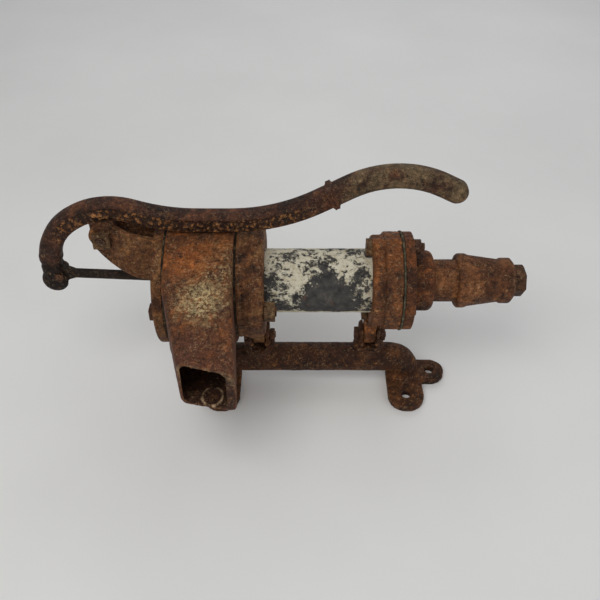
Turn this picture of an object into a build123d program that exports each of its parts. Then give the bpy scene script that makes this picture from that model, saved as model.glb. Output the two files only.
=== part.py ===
"""Hand well pump: a cast-iron lift pump on a bolt-down bracket.

X runs along the cylinder, from the lever end to the suction end. Z is up from the mounting plane.
The origin is midway between the two end bolt holes, on that plane. Lengths are in millimetres.
"""
import os
from math import hypot

from build123d import *

# ---- driving dimensions ---------------------------------------------------------------------------
AXIS_Z = 134.5          # height of the cylinder axis above the mounting plane
BORE_R = 26.5           # cylinder bore
BARREL_R = 31.75        # cylinder outside radius
SOCKET_GAP = 0.05       # radial gap of a tube in its socket
RUNNING_GAP = 0.05      # radial gap of a turning or sliding fit

BARREL_X0, BARREL_X1 = -69.0, 76.0
CAP_X0, CAP_X1 = -152.0, -142.0
CAP_GASKET_T = 1.5
HEAD_X0 = CAP_X1 + CAP_GASKET_T
HEAD_X1 = -76.5
HEAD_GASKET_T = 1.5
UPPER_X0 = HEAD_X1 + HEAD_GASKET_T
UPPER_X1 = -49.0
LOWER_X0, LOWER_STEP_X, LOWER_X1 = 54.0, 66.0, 82.0
BASE_GASKET_T = 2.0
COVER_X0 = LOWER_X1 + BASE_GASKET_T
COVER_X1 = COVER_X0 + 10.0
HUB_X1 = 115.0

CAP_R = 61.0
HEAD_R = 61.0
HEAD_CAVITY_R = 53.0
UPPER_R = 56.0
LOWER_R, LOWER_SMALL_R = 48.5, 45.5
HUB_R = 30.0
SUCTION_HOLE_R = 13.0

HEAD_BOLT_SPOTS = [(-47.0, 134.5), (42.6, 114.6)]  # Y and Z of the two long head bolts
HEAD_BOLT_R = 4.7
HEAD_BOLT_HOLE_R = 5.0
HEAD_BOLT_COLUMN_R = 7.5    # the iron left round each bolt inside the head
HEAD_BOLT_AF, HEAD_BOLT_HEAD_T = 12.0, 5.0
HEAD_NUT_AF, HEAD_NUT_T = 17.0, 10.5
HEAD_BOLT_STUB = 12.0       # how far the bolt stands out of the upper flange
FLANGE_BOLT_OFFSET = 41.5   # the two suction flange bolts stand above and below the axis
FLANGE_BOLT_R = 3.9
FLANGE_BOLT_HOLE_R = 4.2
FLANGE_LOBE_R = 8.5
FLANGE_BOLT_AF, FLANGE_BOLT_HEAD_T = 12.0, 6.0
FLANGE_NUT_AF, FLANGE_NUT_T = 13.0, 6.5
FLANGE_BOLT_STUB = 10.0

# lever linkage, in the X-Z plane through the cylinder axis
PIVOT_X, PIVOT_Z = -198.0, 196.0
ROD_PIN_X, ROD_PIN_Z = -250.0, 145.0
PISTON_PIN_X = -52.0
HANDLE_T = 18.0
CHEEK_GAP_HALF = 9.5
CHEEK_T = 5.5
CHEEK_OUTER = CHEEK_GAP_HALF + CHEEK_T
PIVOT_R = 4.75
FULCRUM_NUT_AF, FULCRUM_NUT_T = 16.0, 5.5
FULCRUM_HEAD_AF, FULCRUM_HEAD_T = 15.0, 6.0
FULCRUM_STUB = 1.5
ROD_PIN_R = 3.5
ROD_R = 4.75
ROD_EYE_T = 9.0
ROD_EYE_R = 9.5
PISTON_EYE_T = 8.0
PISTON_EYE_R = 11.5
PISTON_EYE_HOLE_R = 7.8     # oversize, because the eye swings while the piston runs straight
PISTON_PIN_R = 2.5

# mounting bracket
FOOT_X = 98.0
FOOT_HOLE_Y = -36.0
END_HOLE_X = 127.0
FOOT_HOLE_R = 4.9
FOOT_T = 8.0
TONGUE_R = 19.0
END_TONGUE_R = 16.0
INSTEP_H, INSTEP_TOP_R = 6.0, 12.5      # the cone that blends the bar into the foot
BAR_R = 15.5
BAR_Z = 28.5
BAR_BEND_R = 17.0
NECK_X = 58.0
NECK_TOP_Z = 74.0
NECK_BASE_R, NECK_TOP_R = 17.0, 13.0
NECK_CHEEK_X = 11.5
NECK_BOLT_Z = 61.0
NECK_BOLT_R = 3.4
NECK_BOLT_AF, NECK_HEAD_T, NECK_NUT_T, NECK_STUB = 12.0, 4.5, 5.0, 6.0
NECK_FLAT_Z, NECK_FLAT_H = 52.0, 30.0
LUG_T = 13.0
LUG_R = 9.0
LUG_TOP_Z = 86.5            # stays just below the lower flange bolt's head
LUG_SLOT_GAP = 0.2

# spout: a tapering box between the drum and the mouth, given at three stations along -Y
SPOUT_WALL = (4.5, 4.5, 2.4)
SPOUT_LIP = 8.5             # the thicker lip on the suction side of the mouth
SPOUT_Y = (-17.4, -58.0, -156.0)
SPOUT_LEFT_X = (HEAD_X0, HEAD_X0, -114.0)
SPOUT_RIGHT_X = (HEAD_X1, HEAD_X1, -68.5)
SPOUT_TOP_Z = (193.0, 180.9, 151.7)         # tangent to the drum at the first station
SPOUT_BOTTOM_Z = (93.4, 98.0, 109.1)
SPOUT_CORNER_R = (3.0, 6.0, 7.0)
MOUTH_LEFT, MOUTH_RIGHT = (-119.0, -137.0), (-69.0, -148.0)     # (X, Y) of the oblique rim
FLOOR_RING_X, FLOOR_RING_Y = -92.0, -131.0
FLOOR_RING_RX, FLOOR_RING_RY, FLOOR_RING_W = 9.0, 12.0, 1.8
FLOOR_RING_H, FLOOR_RING_ROOT = 1.2, 1.6    # how far it stands up from the floor, and into it

# suction pipe work
NIPPLE_X0, NIPPLE_X1 = 98.0, 150.0
NIPPLE_R, NIPPLE_BORE_R = 21.0, 17.5
REDUCER_X0, REDUCER_X1 = 138.0, 195.0
PLUG_HEAD_X1 = 206.5
PLUG_AF = 28.0
PLUG_THREAD_R = 13.0

ON_FACE = (Align.CENTER, Align.CENTER, Align.MIN)

os.makedirs("parts", exist_ok=True)


# ---- helpers ---------------------------------------------------------------------------------------
def axis_plane(x, y=0.0, z=AXIS_Z):
    """A plane across the cylinder axis: its local x is +Y and its local y is +Z."""
    return Plane(origin=(x, y, z), x_dir=(0, 1, 0), z_dir=(1, 0, 0))


def across_plane(x, y, z):
    """A plane facing +Y, for pieces that lie across the pump."""
    return Plane(origin=(x, y, z), x_dir=(1, 0, 0), z_dir=(0, 1, 0))


def disc(x0, x1, radius, mode=Mode.ADD, y=0.0, z=AXIS_Z):
    """A cylinder along X, from x0 to x1."""
    with Locations(axis_plane(x0, y, z)):
        Cylinder(radius, x1 - x0, align=ON_FACE, mode=mode)


def cross_disc(y0, y1, radius, x, z, mode=Mode.ADD):
    """A cylinder along Y, from y0 to y1."""
    with Locations(across_plane(x, y0, z)):
        Cylinder(radius, y1 - y0, align=ON_FACE, mode=mode)


def prism(plane, across_flats, sides, height):
    """A square or hexagon head or nut, standing on a plane."""
    with BuildSketch(plane) as outline:
        RegularPolygon(across_flats / 2, sides, major_radius=False, rotation=45 if sides == 4 else 0)
    extrude(outline.sketch, amount=height)


def washer_sketch(plane, outer_r, inner_r):
    """A ring on a plane."""
    with BuildSketch(plane) as ring:
        Circle(outer_r)
        Circle(inner_r, mode=Mode.SUBTRACT)
    return ring.sketch


def lobed_ring(x0, x1, radius, lobe_r, hole_r):
    """A flange with a rounded lobe above and below for its bolts, and one hole in the middle."""
    with BuildSketch(axis_plane(x0)) as outline:
        Circle(radius)
        with Locations((0, FLANGE_BOLT_OFFSET), (0, -FLANGE_BOLT_OFFSET)):
            Circle(lobe_r)
        Circle(hole_r, mode=Mode.SUBTRACT)
    extrude(outline.sketch, amount=x1 - x0)


def flange_bolt_holes(x0, x1):
    """The two suction flange bolt holes."""
    for side in (1, -1):
        disc(x0, x1, FLANGE_BOLT_HOLE_R, Mode.SUBTRACT, z=AXIS_Z + side * FLANGE_BOLT_OFFSET)


def head_bolt_holes(x0, x1):
    """The two long head bolt holes."""
    for bolt_y, bolt_z in HEAD_BOLT_SPOTS:
        disc(x0, x1, HEAD_BOLT_HOLE_R, Mode.SUBTRACT, y=bolt_y, z=bolt_z)


def bracket_lug(x):
    """The flat lug below a flange that the bracket neck clamps."""
    with BuildSketch(axis_plane(x - LUG_T / 2, 0.0, NECK_BOLT_Z)) as outline:
        Circle(LUG_R)
        with Locations((0, (LUG_TOP_Z - NECK_BOLT_Z) / 2)):
            Rectangle(2 * LUG_R, LUG_TOP_Z - NECK_BOLT_Z)
    extrude(outline.sketch, amount=LUG_T)
    disc(x - LUG_T, x + LUG_T, NECK_BOLT_R + SOCKET_GAP, Mode.SUBTRACT, z=NECK_BOLT_Z)


# ---- mounting bracket -------------------------------------------------------------------------------
with BuildPart() as mounting_bracket:
    with BuildLine(Plane.XZ):
        FilletPolyline(
            (-FOOT_X, FOOT_T / 2), (-FOOT_X, BAR_Z), (FOOT_X, BAR_Z), (FOOT_X, FOOT_T / 2),
            radius=BAR_BEND_R,
        )
    with BuildSketch(Plane(origin=(-FOOT_X, 0, FOOT_T / 2))):
        Circle(BAR_R)
    sweep()
    for side in (-1, 1):
        with BuildSketch(Plane.XY):
            with Locations((side * FOOT_X, FOOT_HOLE_Y / 2)):
                SlotCenterToCenter(-FOOT_HOLE_Y, 2 * TONGUE_R, rotation=90)
            with Locations((side * (FOOT_X + END_HOLE_X) / 2, 0)):
                SlotCenterToCenter(END_HOLE_X - FOOT_X, 2 * END_TONGUE_R)
        extrude(amount=FOOT_T)
        with Locations((side * FOOT_X, 0, FOOT_T)):
            Cone(TONGUE_R, INSTEP_TOP_R, INSTEP_H, align=ON_FACE)
        with Locations((side * NECK_X, 0, BAR_Z)):
            Cone(NECK_BASE_R, NECK_TOP_R, NECK_TOP_Z - BAR_Z, align=ON_FACE)
        # flats for the clamp bolt's head and nut, then the fork slot for the lug
        for face in (-1, 1):
            with Locations((side * NECK_X + face * (NECK_CHEEK_X + NECK_BASE_R / 2), 0, NECK_FLAT_Z)):
                Box(NECK_BASE_R, 3 * NECK_BASE_R, NECK_FLAT_H, align=ON_FACE, mode=Mode.SUBTRACT)
        with Locations((side * NECK_X, 0, NECK_BOLT_Z - LUG_R - 1)):
            Box(LUG_T + 2 * LUG_SLOT_GAP, 3 * NECK_BASE_R, NECK_FLAT_H, align=ON_FACE, mode=Mode.SUBTRACT)
        disc(side * NECK_X - NECK_BASE_R, side * NECK_X + NECK_BASE_R, NECK_BOLT_R + SOCKET_GAP,
             Mode.SUBTRACT, z=NECK_BOLT_Z)
        with Locations((side * FOOT_X, FOOT_HOLE_Y, 0), (side * END_HOLE_X, 0, 0)):
            Cylinder(FOOT_HOLE_R, FOOT_T, align=ON_FACE, mode=Mode.SUBTRACT)
mounting_bracket.part.label = "mounting_bracket"
export_step(mounting_bracket.part, "parts/mounting_bracket.step")

# ---- clamp bolts of the two bracket necks -------------------------------------------------------------
with BuildPart() as bracket_bolts:
    for side in (-1, 1):
        neck_x = side * NECK_X
        prism(axis_plane(neck_x - NECK_CHEEK_X - NECK_HEAD_T, 0, NECK_BOLT_Z), NECK_BOLT_AF, 4, NECK_HEAD_T)
        disc(neck_x - NECK_CHEEK_X, neck_x + NECK_CHEEK_X + NECK_STUB, NECK_BOLT_R, z=NECK_BOLT_Z)
bracket_bolts.part.label = "bracket_bolts"
export_step(bracket_bolts.part, "parts/bracket_bolts.step")

with BuildPart() as bracket_nuts:
    for side in (-1, 1):
        nut_x = side * NECK_X + NECK_CHEEK_X
        prism(axis_plane(nut_x, 0, NECK_BOLT_Z), NECK_BOLT_AF, 6, NECK_NUT_T)
        disc(nut_x, nut_x + NECK_NUT_T, NECK_BOLT_R + SOCKET_GAP, Mode.SUBTRACT, z=NECK_BOLT_Z)
bracket_nuts.part.label = "bracket_nuts"
export_step(bracket_nuts.part, "parts/bracket_nuts.step")

# ---- fulcrum cap: the end cover with the two cheeks that carry the lever -------------------------------
CHEEK_ROOT_X = CAP_X0 + 1
CHEEK_ROOT_Z0, CHEEK_ROOT_Z1 = 147.0, 194.5
CHEEK_TOP = [(-162, 196.8), (-175, 201.5), (-186, 209), (-194, 212)]
CHEEK_NOSE = [(-194, 212), (-206, 207.5), (-210.5, 196)]
CHEEK_UNDERSIDE = [(-210.5, 196), (-204, 182), (-192, 165.5), (-178, 153)]
ROD_SLOT_Z, ROD_SLOT_TRAVEL, ROD_SLOT_W = 133.0, 16.0, 12.0
with BuildPart() as fulcrum_cap:
    disc(CAP_X0, CAP_X1, CAP_R)
    fillet(fulcrum_cap.edges().filter_by(GeomType.CIRCLE).group_by(Axis.X)[0], radius=2)
    for offset_y in (-CHEEK_OUTER, CHEEK_GAP_HALF):
        with BuildSketch(Plane.XZ.offset(offset_y)):
            with BuildLine():
                Line((CHEEK_ROOT_X, CHEEK_ROOT_Z0), (CHEEK_ROOT_X, CHEEK_ROOT_Z1))
                Spline((CHEEK_ROOT_X, CHEEK_ROOT_Z1), *CHEEK_TOP)
                ThreePointArc(*CHEEK_NOSE)
                Spline(*CHEEK_UNDERSIDE, (CHEEK_ROOT_X, CHEEK_ROOT_Z0))
            make_face()
        extrude(amount=CHEEK_T)
    cross_disc(-CHEEK_OUTER, CHEEK_OUTER, PIVOT_R + RUNNING_GAP, PIVOT_X, PIVOT_Z, Mode.SUBTRACT)
    # slot for the rod, which rises and falls as it strokes
    with BuildSketch(axis_plane(CAP_X0, 0, ROD_SLOT_Z)):
        SlotCenterToCenter(ROD_SLOT_TRAVEL, ROD_SLOT_W, rotation=90)
    extrude(amount=CAP_X1 - CAP_X0, mode=Mode.SUBTRACT)
    head_bolt_holes(CAP_X0, CAP_X1)
fulcrum_cap.part.label = "fulcrum_cap"
export_step(fulcrum_cap.part, "parts/fulcrum_cap.step")

with BuildPart() as cap_gasket:
    extrude(washer_sketch(axis_plane(CAP_X1), HEAD_R - 0.5, HEAD_CAVITY_R - 14), amount=CAP_GASKET_T)
    head_bolt_holes(CAP_X1, HEAD_X0)
cap_gasket.part.label = "cap_gasket"
export_step(cap_gasket.part, "parts/cap_gasket.step")

# ---- head drum with its spout ----------------------------------------------------------------------
def spout_station(i, wall=0.0, lip=0.0):
    """A rounded section of the spout at one station, drawn in by the wall and, on the right, the lip."""
    left, right = SPOUT_LEFT_X[i] + wall, SPOUT_RIGHT_X[i] - lip
    bottom, top = SPOUT_BOTTOM_Z[i] + wall, SPOUT_TOP_Z[i] - wall
    with BuildSketch(Plane.XZ.offset(-SPOUT_Y[i])) as section:
        with Locations(((left + right) / 2, (bottom + top) / 2)):
            RectangleRounded(right - left, top - bottom, SPOUT_CORNER_R[i] - wall / 3)
    return section.sketch


with BuildPart() as spout_passage:
    loft([spout_station(0, SPOUT_WALL[0], SPOUT_WALL[0]), spout_station(1, SPOUT_WALL[1], SPOUT_WALL[1]),
          spout_station(2, SPOUT_WALL[2], SPOUT_LIP)], ruled=True)

with BuildPart() as spout_head:
    loft([spout_station(i) for i in range(3)], ruled=True)
    # the rim is cut obliquely across the end of the spout
    rim_slope = (MOUTH_RIGHT[1] - MOUTH_LEFT[1]) / (MOUTH_RIGHT[0] - MOUTH_LEFT[0])
    with BuildSketch(Plane.XY):
        with BuildLine():
            Polyline(
                (MOUTH_LEFT[0] - 40, MOUTH_LEFT[1] - 40 * rim_slope),
                (MOUTH_RIGHT[0] + 40, MOUTH_RIGHT[1] + 40 * rim_slope),
                (MOUTH_RIGHT[0] + 40, -220), (MOUTH_LEFT[0] - 40, -220), close=True,
            )
        make_face()
    extrude(amount=2 * AXIS_Z, mode=Mode.SUBTRACT)
    disc(HEAD_X0, HEAD_X1, HEAD_R)
    disc(HEAD_X0, HEAD_X1, HEAD_CAVITY_R, Mode.SUBTRACT)
    add(spout_passage.part, mode=Mode.SUBTRACT)
    for bolt_y, bolt_z in HEAD_BOLT_SPOTS:
        disc(HEAD_X0, HEAD_X1, HEAD_BOLT_COLUMN_R, y=bolt_y, z=bolt_z)
    head_bolt_holes(HEAD_X0, HEAD_X1)
    # a low cast ring on the floor of the mouth
    floor_z = [SPOUT_BOTTOM_Z[i] + SPOUT_WALL[i] for i in (1, 2)]
    floor_rise = (floor_z[1] - floor_z[0]) / (SPOUT_Y[1] - SPOUT_Y[2])
    ring_z = floor_z[0] + floor_rise * (SPOUT_Y[1] - FLOOR_RING_Y) - FLOOR_RING_ROOT
    ring_plane = Plane(origin=(FLOOR_RING_X, FLOOR_RING_Y, ring_z), x_dir=(1, 0, 0), z_dir=(0, floor_rise, 1))
    with BuildSketch(ring_plane):
        Ellipse(FLOOR_RING_RX, FLOOR_RING_RY)
        Ellipse(FLOOR_RING_RX - FLOOR_RING_W, FLOOR_RING_RY - FLOOR_RING_W, mode=Mode.SUBTRACT)
    extrude(amount=FLOOR_RING_ROOT + FLOOR_RING_H)
spout_head.part.label = "spout_head"
export_step(spout_head.part, "parts/spout_head.step")

with BuildPart() as head_gasket:
    extrude(washer_sketch(axis_plane(HEAD_X1), UPPER_R - 0.5, BORE_R + 2), amount=HEAD_GASKET_T)
    head_bolt_holes(HEAD_X1, UPPER_X0)
head_gasket.part.label = "head_gasket"
export_step(head_gasket.part, "parts/head_gasket.step")

# ---- cylinder and its two flanges ------------------------------------------------------------------
with BuildPart() as upper_flange:
    disc(UPPER_X0, UPPER_X1, UPPER_R)
    fillet(upper_flange.edges().filter_by(GeomType.CIRCLE).group_by(Axis.X)[-1], radius=5)
    bracket_lug(-NECK_X)
    disc(UPPER_X0, UPPER_X1, BORE_R, Mode.SUBTRACT)
    disc(BARREL_X0, UPPER_X1, BARREL_R + SOCKET_GAP, Mode.SUBTRACT)
    head_bolt_holes(UPPER_X0, UPPER_X1)
upper_flange.part.label = "upper_flange"
export_step(upper_flange.part, "parts/upper_flange.step")

with BuildPart() as cylinder_barrel:
    extrude(washer_sketch(axis_plane(BARREL_X0), BARREL_R, BORE_R), amount=BARREL_X1 - BARREL_X0)
cylinder_barrel.part.label = "cylinder_barrel"
export_step(cylinder_barrel.part, "parts/cylinder_barrel.step")

with BuildPart() as lower_flange:
    lobed_ring(LOWER_X0, LOWER_STEP_X, LOWER_SMALL_R, FLANGE_LOBE_R, BORE_R)
    lobed_ring(LOWER_STEP_X, LOWER_X1, LOWER_R, FLANGE_LOBE_R, BORE_R)
    fillet(lower_flange.edges().filter_by(GeomType.CIRCLE).group_by(Axis.X)[0]
           .filter_by(lambda e: e.radius > BARREL_R), radius=3)
    bracket_lug(NECK_X)
    disc(LOWER_X0, BARREL_X1, BARREL_R + SOCKET_GAP, Mode.SUBTRACT)
    disc(BARREL_X1, LOWER_X1, BORE_R, Mode.SUBTRACT)
    flange_bolt_holes(LOWER_X0, LOWER_X1)
lower_flange.part.label = "lower_flange"
export_step(lower_flange.part, "parts/lower_flange.step")

with BuildPart() as base_gasket:
    lobed_ring(LOWER_X1, COVER_X0, LOWER_R + 1, FLANGE_LOBE_R + 1, BORE_R)
    # the tab that the flap valve hangs from
    with Locations((LOWER_X1, 0, AXIS_Z + 22.6)):
        Box(BASE_GASKET_T, 14, 6, align=(Align.MIN, Align.CENTER, Align.MIN))
    flange_bolt_holes(LOWER_X1, COVER_X0)
base_gasket.part.label = "base_gasket"
export_step(base_gasket.part, "parts/base_gasket.step")

with BuildPart() as suction_cover:
    lobed_ring(COVER_X0, COVER_X1, LOWER_R, FLANGE_LOBE_R, SUCTION_HOLE_R)
    disc(COVER_X1, HUB_X1, HUB_R)
    fillet(suction_cover.edges().filter_by(GeomType.CIRCLE).group_by(Axis.X)[-1], radius=6)
    disc(COVER_X0, HUB_X1, SUCTION_HOLE_R, Mode.SUBTRACT)
    disc(NIPPLE_X0, HUB_X1, NIPPLE_R + SOCKET_GAP, Mode.SUBTRACT)
    flange_bolt_holes(COVER_X0, COVER_X1)
suction_cover.part.label = "suction_cover"
export_step(suction_cover.part, "parts/suction_cover.step")

# ---- suction pipe work ------------------------------------------------------------------------------
with BuildPart() as suction_nipple:
    extrude(washer_sketch(axis_plane(NIPPLE_X0), NIPPLE_R, NIPPLE_BORE_R), amount=NIPPLE_X1 - NIPPLE_X0)
    # the last threads, standing clear of the hub
    for turn in range(4):
        groove_x = HUB_X1 + 0.8 + 1.8 * turn
        extrude(washer_sketch(axis_plane(groove_x), NIPPLE_R + 1, NIPPLE_R - 0.6), amount=0.9,
                mode=Mode.SUBTRACT)
suction_nipple.part.label = "suction_nipple"
export_step(suction_nipple.part, "parts/suction_nipple.step")

with BuildPart() as reducer_coupling:
    with BuildSketch(Plane.XZ):
        with BuildLine():
            Polyline(
                (REDUCER_X0, AXIS_Z + NIPPLE_R + SOCKET_GAP), (REDUCER_X0, AXIS_Z + 25),
                (REDUCER_X0 + 2, AXIS_Z + 27), (REDUCER_X0 + 9, AXIS_Z + 27),
                (REDUCER_X0 + 12, AXIS_Z + 25.5), (REDUCER_X1 - 15, AXIS_Z + 21.3),
                (REDUCER_X1 - 13, AXIS_Z + 22.6), (REDUCER_X1 - 4, AXIS_Z + 22.6),
                (REDUCER_X1, AXIS_Z + 18), (REDUCER_X1, AXIS_Z + PLUG_THREAD_R + SOCKET_GAP),
                (REDUCER_X1 - 14, AXIS_Z + PLUG_THREAD_R + SOCKET_GAP), (REDUCER_X1 - 16, AXIS_Z + 15),
                (NIPPLE_X1, AXIS_Z + NIPPLE_BORE_R), (NIPPLE_X1, AXIS_Z + NIPPLE_R + SOCKET_GAP),
                close=True,
            )
        make_face()
    revolve(axis=Axis((0, 0, AXIS_Z), (1, 0, 0)))
reducer_coupling.part.label = "reducer_coupling"
export_step(reducer_coupling.part, "parts/reducer_coupling.step")

with BuildPart() as hex_plug:
    prism(axis_plane(REDUCER_X1), PLUG_AF, 6, PLUG_HEAD_X1 - REDUCER_X1)
    chamfer(hex_plug.faces().sort_by(Axis.X)[-1].edges(), length=2)
    disc(REDUCER_X1 - 12, REDUCER_X1, PLUG_THREAD_R)
hex_plug.part.label = "hex_plug"
export_step(hex_plug.part, "parts/hex_plug.step")

# ---- head bolts and suction flange bolts -----------------------------------------------------------
with BuildPart() as head_bolts:
    for bolt_y, bolt_z in HEAD_BOLT_SPOTS:
        prism(axis_plane(CAP_X0 - HEAD_BOLT_HEAD_T, bolt_y, bolt_z), HEAD_BOLT_AF, 4, HEAD_BOLT_HEAD_T)
        disc(CAP_X0, UPPER_X1 + HEAD_BOLT_STUB, HEAD_BOLT_R, y=bolt_y, z=bolt_z)
head_bolts.part.label = "head_bolts"
export_step(head_bolts.part, "parts/head_bolts.step")

with BuildPart() as head_nuts:
    for bolt_y, bolt_z in HEAD_BOLT_SPOTS:
        prism(axis_plane(UPPER_X1, bolt_y, bolt_z), HEAD_NUT_AF, 6, HEAD_NUT_T)
        disc(UPPER_X1, UPPER_X1 + HEAD_NUT_T, HEAD_BOLT_R + SOCKET_GAP, Mode.SUBTRACT, y=bolt_y, z=bolt_z)
head_nuts.part.label = "head_nuts"
export_step(head_nuts.part, "parts/head_nuts.step")

with BuildPart() as flange_bolts:
    for side in (1, -1):
        bolt_z = AXIS_Z + side * FLANGE_BOLT_OFFSET
        prism(axis_plane(LOWER_X0 - FLANGE_BOLT_HEAD_T, 0, bolt_z), FLANGE_BOLT_AF, 4, FLANGE_BOLT_HEAD_T)
        disc(LOWER_X0, COVER_X1 + FLANGE_BOLT_STUB, FLANGE_BOLT_R, z=bolt_z)
flange_bolts.part.label = "flange_bolts"
export_step(flange_bolts.part, "parts/flange_bolts.step")

with BuildPart() as flange_nuts:
    for side in (1, -1):
        bolt_z = AXIS_Z + side * FLANGE_BOLT_OFFSET
        prism(axis_plane(COVER_X1, 0, bolt_z), FLANGE_NUT_AF, 6, FLANGE_NUT_T)
        disc(COVER_X1, COVER_X1 + FLANGE_NUT_T, FLANGE_BOLT_R + SOCKET_GAP, Mode.SUBTRACT, z=bolt_z)
flange_nuts.part.label = "flange_nuts"
export_step(flange_nuts.part, "parts/flange_nuts.step")

# ---- lever handle ----------------------------------------------------------------------------------
HANDLE_DEPTH = 21.0
HANDLE_EDGE_R = 6.5
HANDLE_REST_Z = AXIS_Z + HEAD_R + 0.6 + HANDLE_DEPTH / 2    # centreline where it rests on the head
HOOK_END = (-255.0, 139.0)
HOOK_KNOB_R = 13.5
GRIP_END = (126.5, 238.3)
HANDLE_CORNERS = [(-257, 192), (-197, 225.7), (-139, HANDLE_REST_Z), (-36, HANDLE_REST_Z), (72, 266.3)]
HANDLE_BENDS = [60, 65, 180, 170, 90]
HANDLE_LUG_R, HANDLE_LUG_H = 11.5, 13.5
COLLAR_X, COLLAR_Z, COLLAR_TILT = 14.5, 234.5, 28.9
COLLAR_W, COLLAR_PROUD = 6.0, 1.5
with BuildPart() as handle:
    cross_disc(-HANDLE_T / 2, HANDLE_T / 2, HOOK_KNOB_R, *HOOK_END)
    cross_disc(-HANDLE_T / 2, HANDLE_T / 2, HANDLE_DEPTH / 2, *GRIP_END)
    fillet(handle.edges().filter_by(GeomType.CIRCLE), radius=HANDLE_EDGE_R)
    with BuildLine(Plane.XZ) as handle_route:
        FilletPolyline(HOOK_END, *HANDLE_CORNERS, GRIP_END, radius=HANDLE_BENDS)
    hook_plane = Plane(origin=handle_route.line @ 0, x_dir=(0, 1, 0), z_dir=handle_route.line % 0)
    with BuildSketch(hook_plane):
        RectangleRounded(HANDLE_T, HANDLE_DEPTH, HANDLE_EDGE_R)
    sweep(path=handle_route.line)
    # pivot lug between the cheeks
    with BuildSketch(Plane.XZ):
        with Locations((PIVOT_X, PIVOT_Z)):
            Circle(HANDLE_LUG_R)
        with Locations((PIVOT_X, PIVOT_Z + HANDLE_LUG_H / 2)):
            Rectangle(2 * HANDLE_LUG_R, HANDLE_LUG_H)
    extrude(amount=HANDLE_T / 2, both=True)
    cross_disc(-HANDLE_T, HANDLE_T, PIVOT_R + RUNNING_GAP, PIVOT_X, PIVOT_Z, Mode.SUBTRACT)
    # collar where the grip begins
    with Locations(Location((COLLAR_X, 0, COLLAR_Z), (0, -COLLAR_TILT, 0))):
        Box(COLLAR_W, HANDLE_T + 2 * COLLAR_PROUD, HANDLE_DEPTH + 1.5)
    # fork for the rod eye, open below and towards the rod
    with Locations((-262, 0, 120)):
        Box(60, ROD_EYE_T + 1, 36, align=(Align.MIN, Align.CENTER, Align.MIN), mode=Mode.SUBTRACT)
    cross_disc(-HANDLE_T, HANDLE_T, ROD_PIN_R + SOCKET_GAP, ROD_PIN_X, ROD_PIN_Z, Mode.SUBTRACT)
handle.part.label = "handle"
export_step(handle.part, "parts/handle.step")

with BuildPart() as fulcrum_bolt:
    prism(across_plane(PIVOT_X, CHEEK_OUTER, PIVOT_Z), FULCRUM_HEAD_AF, 4, FULCRUM_HEAD_T)
    cross_disc(-CHEEK_OUTER - FULCRUM_NUT_T - FULCRUM_STUB, CHEEK_OUTER, PIVOT_R, PIVOT_X, PIVOT_Z)
fulcrum_bolt.part.label = "fulcrum_bolt"
export_step(fulcrum_bolt.part, "parts/fulcrum_bolt.step")

with BuildPart() as fulcrum_nut:
    prism(across_plane(PIVOT_X, -CHEEK_OUTER - FULCRUM_NUT_T, PIVOT_Z), FULCRUM_NUT_AF, 4, FULCRUM_NUT_T)
    cross_disc(-CHEEK_OUTER - FULCRUM_NUT_T, -CHEEK_OUTER, PIVOT_R + SOCKET_GAP, PIVOT_X, PIVOT_Z,
               Mode.SUBTRACT)
fulcrum_nut.part.label = "fulcrum_nut"
export_step(fulcrum_nut.part, "parts/fulcrum_nut.step")

# the rod pin is a rivet, peened over at the front
with BuildPart() as rod_pin:
    cross_disc(HANDLE_T / 2, HANDLE_T / 2 + 3, 5.5, ROD_PIN_X, ROD_PIN_Z)
    cross_disc(-HANDLE_T / 2, HANDLE_T / 2, ROD_PIN_R, ROD_PIN_X, ROD_PIN_Z)
    cross_disc(-HANDLE_T / 2 - 1.2, -HANDLE_T / 2, 4.6, ROD_PIN_X, ROD_PIN_Z)
rod_pin.part.label = "rod_pin"
export_step(rod_pin.part, "parts/rod_pin.step")

# ---- piston rod, straight from the lever pin to the piston pin -------------------------------------
ROD_LENGTH = hypot(PISTON_PIN_X - ROD_PIN_X, AXIS_Z - ROD_PIN_Z)
ROD_START = Plane(
    origin=(ROD_PIN_X, 0, ROD_PIN_Z), x_dir=(0, 1, 0),
    z_dir=(PISTON_PIN_X - ROD_PIN_X, 0, AXIS_Z - ROD_PIN_Z),
)
with BuildPart() as piston_rod:
    with Locations(ROD_START.offset(ROD_EYE_R / 2)):
        Cylinder(ROD_R, ROD_LENGTH - ROD_EYE_R / 2 - PISTON_EYE_HOLE_R - 2, align=ON_FACE)
    with Locations(ROD_START.offset(ROD_EYE_R - 1.5)):
        Cone(7.0, ROD_R, 7, align=ON_FACE)
    # trim the swell to the thickness of the flattened eye
    for side in (-1, 1):
        with Locations((ROD_PIN_X, side * (ROD_EYE_T / 2 + 5), ROD_PIN_Z)):
            Box(36, 10, 40, mode=Mode.SUBTRACT)
    cross_disc(-ROD_EYE_T / 2, ROD_EYE_T / 2, ROD_EYE_R, ROD_PIN_X, ROD_PIN_Z)
    cross_disc(-ROD_EYE_T, ROD_EYE_T, ROD_PIN_R + RUNNING_GAP, ROD_PIN_X, ROD_PIN_Z, Mode.SUBTRACT)
    cross_disc(-PISTON_EYE_T / 2, PISTON_EYE_T / 2, PISTON_EYE_R, PISTON_PIN_X, AXIS_Z)
    cross_disc(-PISTON_EYE_T, PISTON_EYE_T, PISTON_EYE_HOLE_R, PISTON_PIN_X, AXIS_Z, Mode.SUBTRACT)
    # trim the shank beside the piston eye to its thickness
    for side in (-1, 1):
        with Locations((PISTON_PIN_X - 4, side * (PISTON_EYE_T / 2 + 5), AXIS_Z)):
            Box(30, 10, 40, mode=Mode.SUBTRACT)
piston_rod.part.label = "piston_rod"
export_step(piston_rod.part, "parts/piston_rod.step")

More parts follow.
